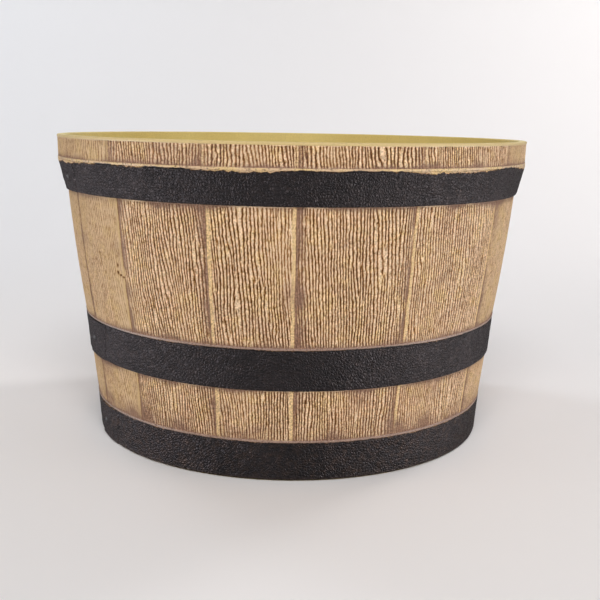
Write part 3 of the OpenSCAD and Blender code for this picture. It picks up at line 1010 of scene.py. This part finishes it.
def drain_plug(i):
    """A rubber plug: a flat head with a grip bar between two hollows, and a stem."""
    seat = FLOOR_TOP - DRAIN_SEAT_DEPTH
    top = seat + PLUG_HEAD_T
    outline = [(0, PLUG_STEM_LOW), (PLUG_STEM_R - PLUG_CHAMFER, PLUG_STEM_LOW),
               (PLUG_STEM_R, PLUG_STEM_LOW + PLUG_CHAMFER), (PLUG_STEM_R, seat),
               (PLUG_HEAD_R - 0.4 * MM, seat)]
    outline += arc(PLUG_HEAD_R - PLUG_ROUND, top - PLUG_ROUND, PLUG_ROUND, -20, 90, steps=6)
    bm = spun(outline, steps=96)
    rim = [e for e in bm.edges if e.is_boundary]
    hollows = finger_hollow(bm, 1, top) + finger_hollow(bm, -1, top)
    bmesh.ops.triangle_fill(bm, use_beauty=True, edges=rim + hollows)
    turn = Matrix.Rotation(math.radians(360 * i / PLUG_COUNT - 90), 4, "Z")
    bmesh.ops.transform(bm, verts=bm.verts, matrix=turn @ Matrix.Translation((DRAIN_CIRCLE_R, 0, 0)))
    piece = make_object(bm, f"plug_{i + 1}_rubber", [RUBBER], body=f"plug_{i + 1}")
    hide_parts(f"drain_plug_{i + 1}")


RIVET_PAINT = rivet_material()
RUBBER = rubber_material()
for name in HOOP_NAMES:
    rivet(name)
for i in range(PLUG_COUNT):
    drain_plug(i)


# ---------------------------------------------------------------- stage, light and camera
WHITE = (1.0, 1.0, 1.0)
WARM = (1.0, 0.95, 0.82)
COOL = (0.93, 0.95, 1.0)
PALE_BLUE = (0.84, 0.92, 1.0)


def stage_material():
    """The sweep's pale, matt paper."""
    n = Nodes("pale_sweep")
    n.shader.inputs["Base Color"].default_value = (*STAGE_WHITE, 1)
    n.shader.inputs["Roughness"].default_value = 0.8
    n.shader.inputs["Specular IOR Level"].default_value = 0.1
    return n.material


def sweep():
    """A floor that curves up into a backdrop."""
    bm = bmesh.new()
    half, front, bend, back, top = 6.0, -3.0, 1.6, 1.2, 4.0
    line = [(front, 0.0), (back, 0.0)]
    line += [(back + bend * math.sin(a), bend - bend * math.cos(a))
             for a in (math.radians(d) for d in range(10, 91, 10))]
    line += [(back + bend, top)]
    verts = [bm.verts.new((-half, y, z)) for y, z in line]
    edges = [bm.edges.new(pair) for pair in zip(verts, verts[1:])]
    made = bmesh.ops.extrude_edge_only(bm, edges=edges)["geom"]
    new = [v for v in made if isinstance(v, bmesh.types.BMVert)]
    bmesh.ops.translate(bm, verts=new, vec=(2 * half, 0, 0))
    bmesh.ops.recalc_face_normals(bm, faces=bm.faces)
    for face in bm.faces:
        face.smooth = True
    mesh = bpy.data.meshes.new("sweep")
    bm.to_mesh(mesh)
    bm.free()
    mesh.materials.append(stage_material())
    floor = bpy.data.objects.new("sweep", mesh)
    bpy.context.scene.collection.objects.link(floor)


def area_light(name, place, aim, size, power, colour=WHITE, sheen_only=False):
    """A soft rectangular lamp. One that is sheen_only shows in gloss, and lights nothing else."""
    data = bpy.data.lights.new(name, "AREA")
    data.shape = "RECTANGLE"
    data.size, data.size_y = size
    data.energy = power
    data.color = colour
    lamp = bpy.data.objects.new(name, data)
    lamp.location = place
    lamp.rotation_euler = (Vector(aim) - Vector(place)).to_track_quat("-Z", "Y").to_euler()
    lamp.visible_camera = False
    lamp.visible_diffuse = not sheen_only
    bpy.context.scene.collection.objects.link(lamp)


def lights():
    """Soft light from the front and above, fill from the sides, and light on the backdrop."""
    area_light("front", (0, -2.2, 2.2), (0, 0, 0.1), (1.6, 1.0), 53)
    area_light("top", (0, -0.4, 2.6), (0, 0, 0), (2.6, 2.2), 6)
    fill_aim, fill_size = (0, 0, 0.22), (0.7, 0.55)
    area_light("right_side", polar(1.7, 72, 0.35), fill_aim, fill_size, 3.6)
    area_light("right_front", polar(1.9, 15, 0.4), (0, 0, 0.1), (0.7, 0.6), 3.5)
    area_light("left_side", polar(1.7, -76, 0.35), fill_aim, fill_size, 4.2, WARM)
    # low lamps at the two sides, whose sheen lies on the hoops between the middle and the ends
    slot_aim, slot_size = (0, 0, 0.25), (0.5, 0.14)
    area_light("right_low", polar(0.85, 66, 0.08), slot_aim, slot_size, 10, sheen_only=True)
    area_light("left_low", polar(0.85, -72, 0.08), slot_aim, slot_size, 10, COOL, sheen_only=True)
    back_size = (1.2, 0.5)
    area_light("backdrop_left", (-1.6, 1.3, 2.4), (-1.2, 2.4, 0.5), back_size, 26, PALE_BLUE)
    area_light("backdrop_right", (1.9, 1.3, 2.4), (1.5, 2.4, 0.5), back_size, 38)


def world():
    """A dim surround that is seen, and reflected, as a mid grey."""
    lit, seen_as = 0.03, 0.3
    scene = bpy.context.scene
    scene.world = bpy.data.worlds.new("studio")
    scene.world.use_nodes = True
    tree = scene.world.node_tree
    background = tree.nodes["Background"]
    background.inputs["Color"].default_value = (0.95, 0.96, 1.0, 1)
    rays = tree.nodes.new("ShaderNodeLightPath").outputs
    seen = rays["Is Camera Ray"]
    for kind in ("Is Glossy Ray", "Is Transmission Ray"):
        either = tree.nodes.new("ShaderNodeMath")
        either.operation = "MAXIMUM"
        tree.links.new(seen, either.inputs[0])
        tree.links.new(rays[kind], either.inputs[1])
        seen = either.outputs[0]
    strength = tree.nodes.new("ShaderNodeMapRange")
    strength.inputs["To Min"].default_value = lit
    strength.inputs["To Max"].default_value = seen_as
    tree.links.new(seen, strength.inputs["Value"])
    tree.links.new(strength.outputs["Result"], background.inputs["Strength"])


def camera():
    """The photograph's view, from a fit of the rim, the hoops and the ground line."""
    away, height = 4.09586 * RIM_R, 1.33457 * RIM_R
    pitch, yaw, roll = (math.radians(d) for d in (11.159, 0.629, 0.9707))
    focal_px, frame_px = 920.16, 600
    forward = Vector((math.sin(yaw) * math.cos(pitch), math.cos(yaw) * math.cos(pitch), -math.sin(pitch)))
    right = Vector((math.cos(yaw), -math.sin(yaw), 0))
    up = right.cross(forward)
    tilted_right = math.cos(roll) * right + math.sin(roll) * up
    tilted_up = math.cos(roll) * up - math.sin(roll) * right
    data = bpy.data.cameras.new("camera")
    data.sensor_width = 36
    data.lens = data.sensor_width * focal_px / frame_px
    shot = bpy.data.objects.new("camera", data)
    turn = Matrix((tilted_right, tilted_up, -forward)).transposed().to_4x4()
    shot.matrix_world = Matrix.Translation((0, -away, height)) @ turn
    bpy.context.scene.collection.objects.link(shot)
    bpy.context.scene.camera = shot


sweep()
lights()
world()
camera()
bpy.context.scene.view_settings.view_transform = "Standard"
